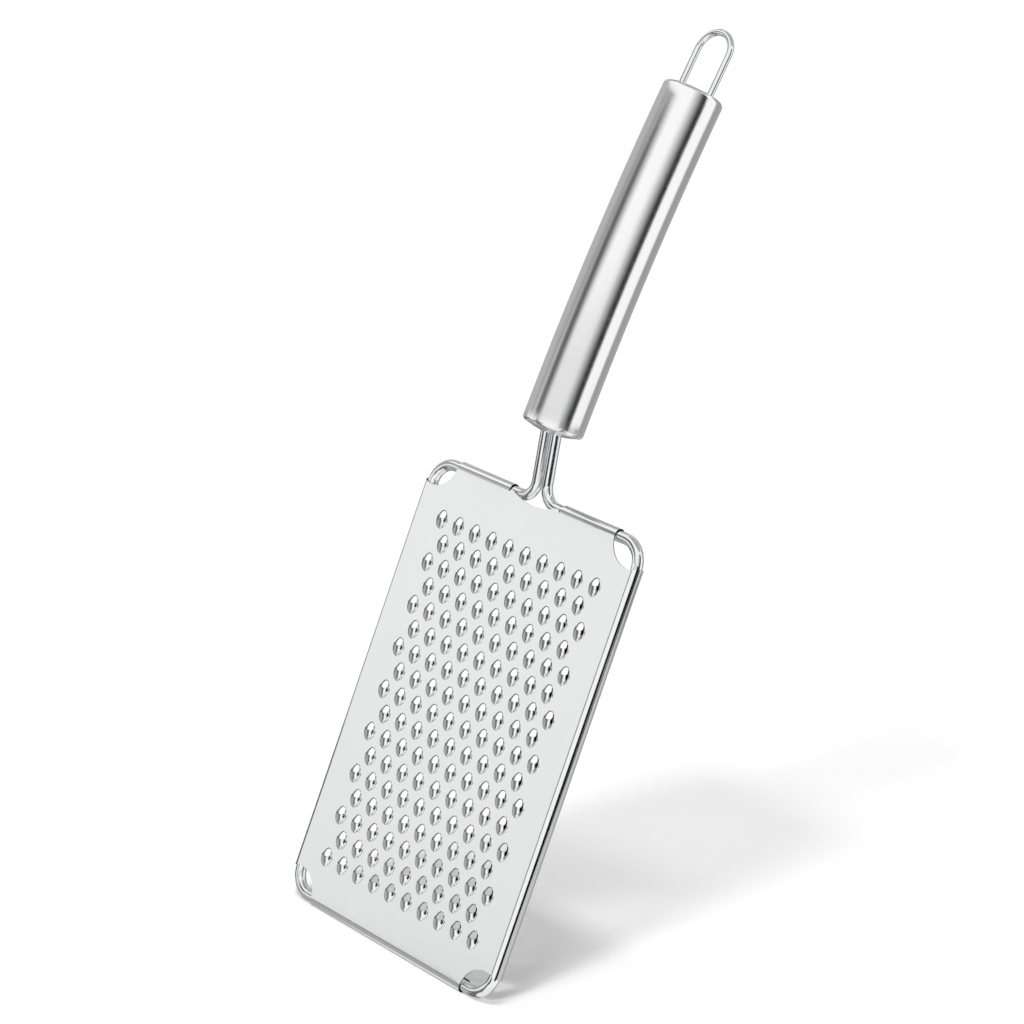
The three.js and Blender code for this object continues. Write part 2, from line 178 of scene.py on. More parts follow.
def add_node(tree, kind, inputs=None, **settings):
    """Adds a node, gives it its settings, and fills its inputs with values or links."""
    node = tree.nodes.new(kind)
    for name, value in settings.items():
        setattr(node, name, value)
    for name, value in (inputs or {}).items():
        if isinstance(value, bpy.types.NodeSocket):
            tree.links.new(value, node.inputs[name])
        else:
            node.inputs[name].default_value = value
    return node


def new_tree(name):
    """An empty material and its node tree."""
    material = bpy.data.materials.new(name)
    material.use_nodes = True
    material.node_tree.nodes.clear()
    return material, material.node_tree


def end_in_steel(tree, shade, pattern, gloss, dents, spread=(0, 1)):
    """Ends a tree in steel: a pattern shifts its roughness between two values and dents it a little."""
    rough = add_node(tree, "ShaderNodeMapRange",
                     {"Value": pattern, "From Min": spread[0], "From Max": spread[1],
                      "To Min": gloss[0], "To Max": gloss[1]})
    bump = add_node(tree, "ShaderNodeBump", {"Height": pattern, "Strength": dents[0], "Distance": dents[1]})
    steel = add_node(tree, "ShaderNodeBsdfPrincipled",
                     {"Base Color": shade, "Metallic": 1.0,
                      "Roughness": rough.outputs["Result"], "Normal": bump.outputs["Normal"]})
    add_node(tree, "ShaderNodeOutputMaterial", {"Surface": steel.outputs["BSDF"]})


print("White is", [round(c, 2) for c in linear("#FFFFFF")])

# %% [markdown]
# ## Satin stainless sheet
# The sheet is cold-rolled stainless steel, bright enough to be almost white where it mirrors something
# pale. The rolls leave a faint grain along the length of the strip. Real grain is finer than a tenth of
# a millimetre, which would not show, so it is drawn a few times wider. It only breaks up the gloss a
# little. At each end of a tooth's lip, where the punch tears the sheet, a small black wedge of shade
# shows. It is too small for a shape of its own, so it is painted shade: the teeth carry an attribute
# that marks it, and the finish turns nearly black where that is high.

# %% The sheet's finish
SHEET_GRAIN = (0.35 * MM, 4 * MM, 14 * MM)
SHEET_CLOUD = (25 * MM, 25 * MM, 40 * MM)
# Levels of the tooth attribute at which the painted shade at the lip ends starts and is full
PAINTED_SHADE_FROM = 0.38
PAINTED_SHADE_FULL = 0.48


def rolled_stainless_sheet():
    """A bright metal whose gloss wavers in fine upright lines, with nearly black painted shade at the ends
    of the lips.
    """
    material, tree = new_tree("rolled_stainless_sheet")
    coords = add_node(tree, "ShaderNodeTexCoord")
    along = add_node(tree, "ShaderNodeMapping", {"Vector": coords.outputs["Object"], "Scale": SHEET_GRAIN},
                     vector_type="TEXTURE")
    grain = add_node(tree, "ShaderNodeTexNoise",
                     {"Vector": along.outputs["Vector"], "Scale": 1, "Detail": 2})
    wide = add_node(tree, "ShaderNodeMapping", {"Vector": coords.outputs["Object"], "Scale": SHEET_CLOUD},
                    vector_type="TEXTURE")
    cloud = add_node(tree, "ShaderNodeTexNoise", {"Vector": wide.outputs["Vector"], "Scale": 1})
    tint = add_node(tree, "ShaderNodeMix",
                    {"Factor": cloud.outputs["Fac"], "A": linear("#F1F2F3"), "B": linear("#F5F5F5")},
                    data_type="RGBA")
    # The attribute marks where black shade is painted at the ends of each lip
    painted_lip_shade = add_node(tree, "ShaderNodeAttribute", attribute_name="painted_lip_shade")
    wedge = add_node(tree, "ShaderNodeMapRange",
                     {"Value": painted_lip_shade.outputs["Fac"], "From Min": PAINTED_SHADE_FROM, "From Max": PAINTED_SHADE_FULL})
    shade = add_node(tree, "ShaderNodeMix",
                     {"Factor": wedge.outputs["Result"], "A": tint.outputs["Result"],
                      "B": linear("#1C1C1C")}, data_type="RGBA")
    end_in_steel(tree, shade.outputs["Result"], grain.outputs["Fac"], gloss=(0.09, 0.16),
                 dents=(0.04, 0.02 * MM))
    return material


sheet_steel = rolled_stainless_sheet()
print("Finish:", sheet_steel.name)

# %% [markdown]
# ## One tooth
# A punch tears an oval open and pushes its lower half out as a hood, whose lip shaves the cheese, while
# the edge of the open half turns up into a low collar. The shape comes 162 times, so it has to be made
# of few faces: a ring of sixteen points is pulled out to a rectangle that tiles with its neighbours,
# and drawn inwards to the collar and the hood in three steps. The hood's back climbs all the way to the
# lip. The points at the two ends of the lip, where the punch tears the sheet, are marked for painted
# black shade. A subdivision surface rounds it all later.

# %% Draw one tooth in its rectangle of sheet
TOOTH_WIDTH = 4.2
TOOTH_LENGTH = 6.8
COLUMN_PITCH = 8.3
ROW_PITCH = 7.5
RING_POINTS = 16
TOLERANCE = 0.01
# The lip ends in two horns, which start at the ring's first points above the middle
HORN_TOP = TOOTH_LENGTH / 2 * math.sin(math.tau / RING_POINTS)
COLLAR_SHARE = Vector((0.93, 1, 0.94))
COLLAR_RISE = 0.18
COLLAR_SLOPE = 0.06
# A step of the hood: what is left of its width and of its foot, the level of its horns, how far these
# rise out of the sheet, and how steeply the step slopes from there to the foot
HoodStep = namedtuple("HoodStep", "width foot level rise slope")
FIRST_RING = HoodStep(width=1, foot=1, level=0, rise=0, slope=0)
HOOD_STEPS = (
    HoodStep(width=0.95, foot=0.94, level=0.05, rise=0.62, slope=0),
    HoodStep(width=0.78, foot=0.74, level=0.40, rise=1.22, slope=0.12),
    HoodStep(width=0.34, foot=0.30, level=0.35, rise=1.72, slope=0.30),
)
FACE_FRONT = Matrix.Rotation(math.pi / 2, 4, "X")


def verts_in(geometry):
    """The points in what an operator made."""
    return [item for item in geometry if isinstance(item, bmesh.types.BMVert)]


def edges_in(geometry):
    """The edges in what an operator made."""
    return [item for item in geometry if isinstance(item, bmesh.types.BMEdge)]


def square_off(across, up):
    """Moves a point of the unit circle to the unit square, evenly spaced along each side."""
    small, large = sorted((abs(across), abs(up)))
    share = math.atan2(small, large) / (math.pi / 4)
    if abs(across) > abs(up):
        return math.copysign(1, across), math.copysign(share, up)
    return math.copysign(share, across), math.copysign(1, up)


def half_oval(z):
    """Half the width of the tooth's oval at a height."""
    return TOOTH_WIDTH / 2 * math.sqrt(1 - (2 * z / TOOTH_LENGTH) ** 2)


def draw_collar_point(vert):
    """Draws a point of the open half inwards and turns it up, more so towards the hood."""
    vert.co *= COLLAR_SHARE
    vert.co.y = -COLLAR_RISE - COLLAR_SLOPE * (TOOTH_LENGTH / 2 - vert.co.z)


def draw_hood_point(vert, step, before):
    """Draws a point of the hood in and out of the sheet: the foot straight in, the horns along the oval."""
    if vert.co.z > TOLERANCE:
        vert.co.z = step.level
        vert.co.x = math.copysign(step.width * half_oval(step.level), vert.co.x)
    else:
        vert.co.z *= step.foot / before.foot
        vert.co.x *= step.width / before.width
    vert.co.y = -step.rise - step.slope * (vert.co.z - step.level)


def draw_tooth(shape):
    """One tooth with the sheet round it, about the drawing's zero, with the hood towards -Y."""
    painted_lip_shade = shape.verts.layers.float.new("painted_lip_shade")
    ring = bmesh.ops.create_circle(shape, cap_ends=False, segments=RING_POINTS, radius=1, matrix=FACE_FRONT)
    edges = shape.edges[:]
    for vert in verts_in(bmesh.ops.extrude_edge_only(shape, edges=edges)["geom"]):
        across, up = square_off(vert.co.x, vert.co.z)
        vert.co = Vector((across * COLUMN_PITCH / 2, 0, up * ROW_PITCH / 2))
    bmesh.ops.scale(shape, vec=(TOOTH_WIDTH / 2, 1, TOOTH_LENGTH / 2), verts=ring["verts"])
    # The ring's points at the horns start the painted shade at the lip's ends; the first step's points
    # there get it in full
    for vert in ring["verts"]:
        vert[painted_lip_shade] = PAINTED_SHADE_FROM if abs(vert.co.z - HORN_TOP) < TOLERANCE else 0.0
    before = FIRST_RING
    for step in HOOD_STEPS:
        made = bmesh.ops.extrude_edge_only(shape, edges=edges)["geom"]
        hood = [vert for vert in verts_in(made) if vert.co.z < HORN_TOP + TOLERANCE]
        for vert in verts_in(made):
            vert[painted_lip_shade] = 1.0 if before is FIRST_RING and abs(vert.co.z) < TOLERANCE else 0.0
            if before is FIRST_RING and vert.co.z > TOLERANCE:
                draw_collar_point(vert)
            else:
                draw_hood_point(vert, step, before)
        edges = [edge for edge in edges_in(made) if all(vert in hood for vert in edge.verts)]
        before = step
    bmesh.ops.contextual_create(shape, geom=hood)


tooth = bmesh.new()
draw_tooth(tooth)
print(f"One tooth has {len(tooth.faces)} faces")
tooth.free()

# %% [markdown]
# ## The field of teeth
# The teeth stand in seventeen staggered rows of ten and nine. The rectangles of a row meet those of the
# next halfway, and because their points are evenly spread, every point finds a partner. The copies only
# have to be welded together, and half a rectangle of plain sheet fills each end of the shorter rows.

# %% Tile the teeth
TOOTH_ROWS = 17
TEETH_IN_ROW = 10
FIELD_MIDDLE = -1.3
SIDE_PIECES = RING_POINTS // 4
FIELD_X = TEETH_IN_ROW * COLUMN_PITCH / 2
FIELD_Z = TOOTH_ROWS * ROW_PITCH / 2


def tile_teeth(shape):
    """Copies the tooth to all its places and returns the edges round the whole field."""
    draw_tooth(shape)
    pattern = shape.verts[:] + shape.edges[:] + shape.faces[:]
    for row in range(TOOTH_ROWS):
        in_row = TEETH_IN_ROW - row % 2
        z = FIELD_MIDDLE + ((TOOTH_ROWS - 1) / 2 - row) * ROW_PITCH
        for column in range(in_row):
            x = (column - (in_row - 1) / 2) * COLUMN_PITCH
            copy = bmesh.ops.duplicate(shape, geom=pattern)["geom"]
            bmesh.ops.translate(shape, verts=verts_in(copy), vec=(x, 0, z))
        if row % 2:
            for side in (-1, 1):
                place = Matrix.Translation((side * (FIELD_X - COLUMN_PITCH / 4), 0, z)) @ FACE_FRONT
                size = Matrix.Diagonal((COLUMN_PITCH / 2, ROW_PITCH, 1, 1))
                bmesh.ops.create_grid(shape, x_segments=SIDE_PIECES // 2, y_segments=SIDE_PIECES, size=0.5,
                                      matrix=place @ size)
    bmesh.ops.delete(shape, geom=verts_in(pattern), context="VERTS")
    bmesh.ops.remove_doubles(shape, verts=shape.verts, dist=TOLERANCE)

    def on_rim(vert):
        """Whether a point lies on the field's outer edge."""
        return (abs(abs(vert.co.x) - FIELD_X) < TOLERANCE
                or abs(abs(vert.co.z - FIELD_MIDDLE) - FIELD_Z) < TOLERANCE)

    return [edge for edge in shape.edges if edge.is_boundary and all(on_rim(vert) for vert in edge.verts)]


sheet = bmesh.new()
field_rim = tile_teeth(sheet)
print(f"Field of teeth: {len(sheet.faces)} faces, {len(field_rim)} edges round it")

# %% [markdown]
# ## The blank round the teeth
# The flat blank has a round notch at each corner, which leaves the bends of the wire free, and a wide
# shallow one at the top for the neck. A point turned round a notch's centre draws its edge. Straight
# lines join the arcs, where the sheet will be folded, and a fill closes the flat margin between this
# outline and the teeth.

# %% Draw the outline and fill the margin
SHEET_THICKNESS = 0.35
HEM_GAP = 0.145
HEM_RADIUS = WIRE_RADIUS + HEM_GAP + SHEET_THICKNESS
STRIP_WIDTH = 0.6
CORNER_NOTCH = Vector((HALF_WIDTH - 4.6, 0, HALF_HEIGHT - 1.5))
CORNER_NOTCH_RADIUS = 9.3
TOP_NOTCH_RADIUS = 26
TOP_NOTCH_LOW = 74.7
TAB_TOP = 77.2
NECK_GAP_HALF = 12.4
ARC_STEPS = 12
FOLD_PIECE = 4
wire_x = HALF_WIDTH - HEM_RADIUS
wire_z = HALF_HEIGHT - HEM_RADIUS
fold_x = wire_x - STRIP_WIDTH
fold_z = wire_z - STRIP_WIDTH


def half_chord(radius, offset):
    """Half the length of the chord at this distance from a circle's centre."""
    return math.sqrt(radius ** 2 - offset ** 2)


def side_end(sign_x, sign_z):
    """Where the fold of a long side meets a corner notch."""
    z = CORNER_NOTCH.z - half_chord(CORNER_NOTCH_RADIUS, fold_x - CORNER_NOTCH.x)
    return Vector((sign_x * fold_x, 0, sign_z * z))


def short_end(sign_x, sign_z):
    """Where the fold of a short side meets a corner notch."""
    x = CORNER_NOTCH.x - half_chord(CORNER_NOTCH_RADIUS, CORNER_NOTCH.z - fold_z)
    return Vector((sign_x * x, 0, sign_z * fold_z))


def notch_arc(shape, centre, start, stop):
    """Turns a point round a notch's centre and returns the arc's first and last point."""
    first = shape.verts.new(start)
    angle = (start - centre).xz.angle_signed((stop - centre).xz)
    made = bmesh.ops.spin(shape, geom=[first], cent=centre, axis=(0, 1, 0), angle=angle, steps=ARC_STEPS)
    return first, verts_in(made["geom_last"])[0]


def corner_arc(shape, sign_x, sign_z, start, stop):
    """The arc of one corner notch, from one fold to the next."""
    centre = Vector((sign_x * CORNER_NOTCH.x, 0, sign_z * CORNER_NOTCH.z))
    return notch_arc(shape, centre, start(sign_x, sign_z), stop(sign_x, sign_z))


def fold_line(shape, start, stop):
    """A straight line of even pieces, along which a hem is folded."""
    known = set(shape.edges)
    way = stop.co - start.co
    pieces = round(way.length / FOLD_PIECE)
    made = bmesh.ops.spin(shape, geom=[start], cent=(0, 0, 0), axis=(0, 1, 0), angle=0, dvec=way / pieces,
                          steps=pieces - 1)
    shape.edges.new((verts_in(made["geom_last"])[0], stop))
    return [edge for edge in shape.edges if edge not in known]


def draw_outline(shape):
    """Draws the blank's outline and returns its edges and the ones to be folded, each with its way out."""
    known = set(shape.edges)
    low_right = corner_arc(shape, 1, -1, short_end, side_end)
    high_right = corner_arc(shape, 1, 1, side_end, short_end)
    high_left = corner_arc(shape, -1, 1, short_end, side_end)
    low_left = corner_arc(shape, -1, -1, side_end, short_end)
    tab = half_chord(TOP_NOTCH_RADIUS, TOP_NOTCH_LOW + TOP_NOTCH_RADIUS - TAB_TOP)
    neck_centre = Vector((0, 0, TOP_NOTCH_LOW + TOP_NOTCH_RADIUS))
    neck = notch_arc(shape, neck_centre, Vector((tab, 0, TAB_TOP)), Vector((-tab, 0, TAB_TOP)))
    gap_right = shape.verts.new((NECK_GAP_HALF, 0, fold_z))
    gap_left = shape.verts.new((-NECK_GAP_HALF, 0, fold_z))
    shape.edges.new((gap_right, neck[0]))
    shape.edges.new((neck[1], gap_left))
    folds = [
        (fold_line(shape, low_right[1], high_right[0]), Vector((1, 0, 0))),
        (fold_line(shape, high_right[1], gap_right), Vector((0, 0, 1))),
        (fold_line(shape, gap_left, high_left[0]), Vector((0, 0, 1))),
        (fold_line(shape, high_left[1], low_left[0]), Vector((-1, 0, 0))),
        (fold_line(shape, low_left[1], low_right[0]), Vector((0, 0, -1))),
    ]
    return [edge for edge in shape.edges if edge not in known], folds


outline, folds = draw_outline(sheet)
filled = bmesh.ops.triangle_fill(sheet, use_beauty=True, edges=field_rim + outline)
print(f"Outline of {len(outline)} edges, margin of {len(filled['geom'])} new faces and edges")

# %% [markdown]
# ## Hems round the wire
# The maker folds each side round the wire and presses it home. A spin does the same: it turns the
# straight edge about the wire's centre line, from the front round the outside to the back. A narrow
# flat strip before the bend keeps the rounding out of the margin. The notches cut the hems too, so the
# points at their ends slide along the wire until they lie on the notch's circle.

# %% Fold the hems
HEM_WRAP = math.radians(240)
HEM_STEPS = 16
NOTCH_MARGIN = 0.5


def push(shape, edges, travel):
    """Extrudes edges along a straight way and returns the new ones."""
    made = bmesh.ops.extrude_edge_only(shape, edges=edges)["geom"]
    bmesh.ops.translate(shape, verts=verts_in(made), vec=travel)
    return edges_in(made)


def turn(shape, edges, centre, axis, angle, steps):
    """Spins edges about an axis and returns the last ones."""
    made = bmesh.ops.spin(shape, geom=edges, cent=centre, axis=axis, angle=angle, steps=steps)
    return edges_in(made["geom_last"])


def slide_to_notch(vert, outward):
    """Slides a point at the end of a hem along the wire, on to the circle of the corner notch."""
    x, z = abs(vert.co.x), abs(vert.co.z)
    if outward.x and z > CORNER_NOTCH.z - CORNER_NOTCH_RADIUS - NOTCH_MARGIN:
        z = CORNER_NOTCH.z - half_chord(CORNER_NOTCH_RADIUS, x - CORNER_NOTCH.x)
        vert.co.z = math.copysign(z, vert.co.z)
    elif outward.z and x > CORNER_NOTCH.x - CORNER_NOTCH_RADIUS - NOTCH_MARGIN:
        x = CORNER_NOTCH.x - half_chord(CORNER_NOTCH_RADIUS, z - CORNER_NOTCH.z)
        vert.co.x = math.copysign(x, vert.co.x)


def fold_hem(shape, line, outward):
    """Folds one straight side of the blank round the wire."""
    known = set(shape.verts)
    edges = push(shape, line, outward * STRIP_WIDTH)
    centre = edges[0].verts[0].co + Vector((0, HEM_RADIUS, 0))
    turn(shape, edges, centre, Vector((0, -1, 0)).cross(outward), HEM_WRAP, HEM_STEPS)
    for vert in shape.verts:
        if vert not in known and vert.is_boundary:
            slide_to_notch(vert, outward)


for line, outward in folds:
    fold_hem(sheet, line, outward)
print(f"Sheet with its hems: {len(sheet.faces)} faces")

# %% [markdown]
# ## The wall of the sheet
# So far the sheet is a skin. Its faces are first turned to point outwards, and then the wall gets its
# thickness, which leaves every hole and lip a real cut edge. A sheared edge is torn and dull, so these
# faces get a finish of their own, and a black one at the ends of the hems, because the gap round the
# wire lies in deep shade there and is too narrow to show by itself. The cut edges and the foot of each
# hood are creased, so that the subdivision surface keeps them crisp while it rounds the hoods and hems.

# %% Give the sheet its thickness
# Cut faces that lie deeper than this are the ends of the hems
HEM_END_DEPTH = 0.4
FLAT_NORMAL = 0.9999


def sheared_edge(name, shade):
    """A dull grey metal, which draws a thin line round every hole, and at the ends of the hems a black one
    of painted shade.
    """
    material, tree = new_tree(name)
    steel = add_node(tree, "ShaderNodeBsdfPrincipled",
                     {"Base Color": linear(shade), "Metallic": 1.0, "Roughness": 0.5})
    add_node(tree, "ShaderNodeOutputMaterial", {"Surface": steel.outputs["BSDF"]})
    return material


def is_flat(face):
    """Whether a face lies in the plane of the sheet."""
    return abs(face.normal.y) > FLAT_NORMAL


def in_field(vert):
    """Whether a point lies among the teeth."""
    return abs(vert.co.x) < FIELD_X and abs(vert.co.z - FIELD_MIDDLE) < FIELD_Z


def mark_tooth_feet(shape):
    """Keeps the line sharp where the flat of the sheet ends at a hood or a collar."""
    for edge in shape.edges:
        one_side_flat = sorted(is_flat(face) for face in edge.link_faces) == [False, True]
        if one_side_flat and all(in_field(vert) for vert in edge.verts):
            edge.smooth = False


def set_crease(shape):
    """Creases the sharp edges for the subdivision surface."""
    crease = shape.edges.layers.float.new("crease_edge")
    for edge in shape.edges:
        edge[crease] = 0.0 if edge.smooth else 1.0


bmesh.ops.remove_doubles(sheet, verts=sheet.verts, dist=TOLERANCE / 10)
bmesh.ops.recalc_face_normals(sheet, faces=sheet.faces)
if sum(face.normal.y * face.calc_area() for face in sheet.faces) > 0:
    bmesh.ops.reverse_faces(sheet, faces=sheet.faces)
cuts = [edge for edge in sheet.edges if edge.is_boundary]
skin = set(sheet.faces)
bmesh.ops.solidify(sheet, geom=sheet.faces[:], thickness=SHEET_THICKNESS)
cut_faces = {face for edge in cuts for face in edge.link_faces if face not in skin}
for face in cut_faces:
    face.material_index = 2 if face.calc_center_median().y > HEM_END_DEPTH else 1
print(f"{len(cuts)} cut edges, {len(cut_faces)} sheared faces")
sheet.normal_update()
mark_true_edges(sheet)
mark_tooth_feet(sheet)
set_crease(sheet)
bmesh.ops.translate(sheet, verts=sheet.verts, vec=(0, -HEM_RADIUS, 0))
punched_sheet = add_piece("punched_sheet", sheet, sheet_steel, "sheet_steel", "grating_plate")
punched_sheet.data.materials.append(sheared_edge("sheared_stainless_edge", "#7A7A7A"))
# The ends of the hems get painted black shade, for the dark gap round the wire
punched_sheet.data.materials.append(sheared_edge("shaded_stainless_hem_end", "#1A1A1A"))
rounding = punched_sheet.modifiers.new("rounding", "SUBSURF")
rounding.levels = 1
rounding.render_levels = 1

# %% [markdown]
# ## Bright stainless wire
# The frame and the loop are drawn stainless wire, tumbled until it shines. Such wire mirrors the studio
# almost cleanly, in black and white streaks along its length. A faint speckle in the gloss and tiny
# dents, drawn larger than life so that they show, keep the streaks from looking like glass.

# %% The wire's finish
WIRE_SPECK = (1.2 * MM,) * 3


def tumbled_stainless_wire():
    """A clear mirror with slightly uneven gloss."""
    material, tree = new_tree("tumbled_stainless_wire")
    coords = add_node(tree, "ShaderNodeTexCoord")
    place = add_node(tree, "ShaderNodeMapping", {"Vector": coords.outputs["Object"], "Scale": WIRE_SPECK},
                     vector_type="TEXTURE")
    speck = add_node(tree, "ShaderNodeTexNoise",
                     {"Vector": place.outputs["Vector"], "Scale": 1, "Detail": 3})
    end_in_steel(tree, linear("#EFF0F1"), speck.outputs["Fac"], gloss=(0.04, 0.11),
                 dents=(0.02, 0.05 * MM))
    return material


bright_wire = tumbled_stainless_wire()
print("Finish:", bright_wire.name)

# %% [markdown]
# ## The frame wire
# One length of wire comes down from the handle, bends out along the top of the sheet, goes round it and
# up again beside its own start. It could be a curve with a round bevel, but a maker bends wire run by
# run, and the same works with a mesh: a ring is pushed along each straight run and turned round each
# bend.

# %% Bend the frame wire
WIRE_SIDES = 24
BEND_STEPS = 14
CORNER_BEND = 8
NECK_BEND = 6.5
NECK_LEAN = math.radians(13)
NECK_LENGTH = 24.3
NECK_INSERT = 9
NECK_SPACING = 2.35
neck_way = Vector((0, -math.sin(NECK_LEAN), math.cos(NECK_LEAN)))
neck_foot = Vector((0, 0, wire_z))
handle_foot = neck_foot + NECK_LENGTH * neck_way


def new_ring(shape, radius, sides, place):
    """A circle of edges, put where the matrix says."""
    known = set(shape.edges)
    bmesh.ops.create_circle(shape, cap_ends=False, segments=sides, radius=radius, matrix=place)
    return [edge for edge in shape.edges if edge not in known]


def bend_wire(corners, bends, radius, sides):
    """A wire that runs straight from corner to corner and takes each inner one with its bend radius."""
    shape = bmesh.new()
    here = corners[0]
    heading = (corners[1] - here).normalized()
    place = Matrix.Translation(here) @ heading.to_track_quat("Z", "Y").to_matrix().to_4x4()
    ring = new_ring(shape, radius, sides, place)
    for corner, after, bend in zip(corners[1:-1], corners[2:], bends):
        ahead = (after - corner).normalized()
        angle = heading.angle(ahead)
        reach = bend * math.tan(angle / 2)
        start = corner - reach * heading
        inward = (ahead - heading * math.cos(angle)).normalized()
        ring = push(shape, ring, start - here)
        ring = turn(shape, ring, start + bend * inward, heading.cross(ahead), angle, BEND_STEPS)
        here = corner + reach * ahead
        heading = ahead
    push(shape, ring, corners[-1] - here)
    bmesh.ops.holes_fill(shape, edges=shape.edges, sides=sides)
    bmesh.ops.recalc_face_normals(shape, faces=shape.faces)
    mark_true_edges(shape)
    return shape


wire_end = handle_foot + NECK_INSERT * neck_way
half_path = [
    wire_end + Vector((NECK_SPACING, 0, 0)),
    neck_foot + Vector((NECK_SPACING, 0, 0)),
    Vector((wire_x, 0, wire_z)),
    Vector((wire_x, 0, -wire_z)),
]
wire_path = half_path + [Vector((-point.x, point.y, point.z)) for point in reversed(half_path)]
wire_bends = [NECK_BEND] + 4 * [CORNER_BEND] + [NECK_BEND]
frame_shape = bend_wire(wire_path, wire_bends, WIRE_RADIUS, WIRE_SIDES)
add_piece("bent_frame_wire", frame_shape, bright_wire, "polished_wire", "frame_wire")

# %% [markdown]
# ## Stainless tube, brushed round its girth
# The handle is a welded stainless tube that was turned against an abrasive belt, so its scratches run
# round it. They blur what the tube mirrors along its length and leave it fairly clear across, and the
# dark and light bands keep their place. The scratches are drawn a third of a millimetre apart, coarser
# than the real ones.

# %% The tube's finish
HANDLE_LEAN = math.radians(2.5)
HANDLE_LENGTH = 118.5
HANDLE_BOW = 1050
HANDLE_TURN = HANDLE_LENGTH / HANDLE_BOW
BRUSH_LINE = (12 * MM, 12 * MM, 0.3 * MM)


def girth_brushed_tube():
    """A soft metal with fine rings of lighter and darker gloss round it."""
    material, tree = new_tree("girth_brushed_stainless_tube")
    coords = add_node(tree, "ShaderNodeTexCoord")
    lean = (-(HANDLE_LEAN + HANDLE_TURN / 2), 0, 0)
    place = add_node(tree, "ShaderNodeMapping",
                     {"Vector": coords.outputs["Object"], "Rotation": lean, "Scale": BRUSH_LINE},
                     vector_type="TEXTURE")
    brush = add_node(tree, "ShaderNodeTexNoise",
                     {"Vector": place.outputs["Vector"], "Scale": 1, "Detail": 4})
    tint = add_node(tree, "ShaderNodeMix",
                    {"Factor": brush.outputs["Fac"], "A": linear("#F5F5F6"), "B": linear("#FCFCFC")},
                    data_type="RGBA")
    end_in_steel(tree, tint.outputs["Result"], brush.outputs["Fac"], gloss=(0.15, 0.21),
                 dents=(0.1, 0.03 * MM), spread=(0.25, 0.75))
    return material


brushed_tube = girth_brushed_tube()
print("Finish:", brushed_tube.name)

# %% [markdown]
# ## The handle tube
# The tube bows gently, with its convex side to the front. A ring turned about a far axis gives exactly
# that bow. Its ends are closed with a face, whose rim is bevelled to the round of the rolled-in lip.
# Then the two faces go, and the skin gets its wall, so the handle stays a real tube that the caps
# close.

# %% Bow the handle tube
HANDLE_RADIUS = 10.4
HANDLE_WALL = 0.8
LIP_ROUND = 1.6
TUBE_SIDES = 72
BOW_STEPS = 24
LIP_STEPS = 5
bow_centre = handle_foot + HANDLE_BOW * Vector((0, math.cos(HANDLE_LEAN), -math.sin(HANDLE_LEAN)))


def handle_place(distance):
    """The matrix of a point on the handle's bowed axis: Z runs along the axis there."""
    lean = HANDLE_LEAN + distance / HANDLE_BOW
    point = bow_centre + HANDLE_BOW * Vector((0, -math.cos(lean), math.sin(lean)))
    return Matrix.Translation(point) @ Matrix.Rotation(-lean, 4, "X")


def draw_handle():
    """The bowed tube with its rolled-in lips and its wall."""
    shape = bmesh.new()
    ring = new_ring(shape, HANDLE_RADIUS, TUBE_SIDES, handle_place(0))
    turn(shape, ring, bow_centre, (-1, 0, 0), HANDLE_TURN, BOW_STEPS)
    ends = bmesh.ops.holes_fill(shape, edges=shape.edges, sides=TUBE_SIDES)["faces"]
    bmesh.ops.recalc_face_normals(shape, faces=shape.faces)
    rims = [edge for face in ends for edge in face.edges]
    bmesh.ops.bevel(shape, geom=rims, offset=LIP_ROUND, offset_type="OFFSET", segments=LIP_STEPS,
                    profile=0.5, affect="EDGES", material=-1)
    lids = [face for face in shape.faces if len(face.verts) == TUBE_SIDES]
    bmesh.ops.delete(shape, geom=lids, context="FACES")
    bmesh.ops.solidify(shape, geom=shape.faces[:], thickness=HANDLE_WALL)
    mark_true_edges(shape)
    return shape


add_piece("bowed_handle_tube", draw_handle(), brushed_tube, "brushed_tube", "handle_tube")

# %% [markdown]
# ## Spun stainless caps
# A disc closes each end of the tube, pressed into the rolled lip. The lower one has an oblong hole for
# the two wires, the upper one a round hole for each leg of the loop. Such discs are spun, so their fine
# lines are circles about the middle: the finish takes the distance from the middle and lets it drive a
# noise. The lines are drawn coarser than real ones, so that they show.

# %% The caps' finish
SPUN_LINE = 0.3 * MM


def spun_stainless_cap(name, place):
    """A satin disc with fine circles of gloss about its middle."""
    material, tree = new_tree(name)
    centre = DRAWING_TO_FRAME @ place.translation
    coords = add_node(tree, "ShaderNodeTexCoord")
    local = add_node(tree, "ShaderNodeMapping",
                     {"Vector": coords.outputs["Object"], "Location": centre, "Rotation": place.to_euler(),
                      "Scale": (SPUN_LINE,) * 3}, vector_type="TEXTURE")
    flat = add_node(tree, "ShaderNodeVectorMath", {0: local.outputs["Vector"], 1: (1, 1, 0)},
                    operation="MULTIPLY")
    radius = add_node(tree, "ShaderNodeVectorMath", {0: flat.outputs["Vector"]}, operation="LENGTH")
    lines = add_node(tree, "ShaderNodeTexNoise", {"W": radius.outputs["Value"], "Scale": 1, "Detail": 2},
                     noise_dimensions="1D")
    end_in_steel(tree, linear("#E6E7E8"), lines.outputs["Fac"], gloss=(0.2, 0.36),
                 dents=(0.15, 0.03 * MM))
    return material


lower_cap_finish = spun_stainless_cap("spun_stainless_lower_cap", handle_place(0))
upper_cap_finish = spun_stainless_cap("spun_stainless_upper_cap", handle_place(HANDLE_LENGTH))
print("Finishes:", lower_cap_finish.name, upper_cap_finish.name)

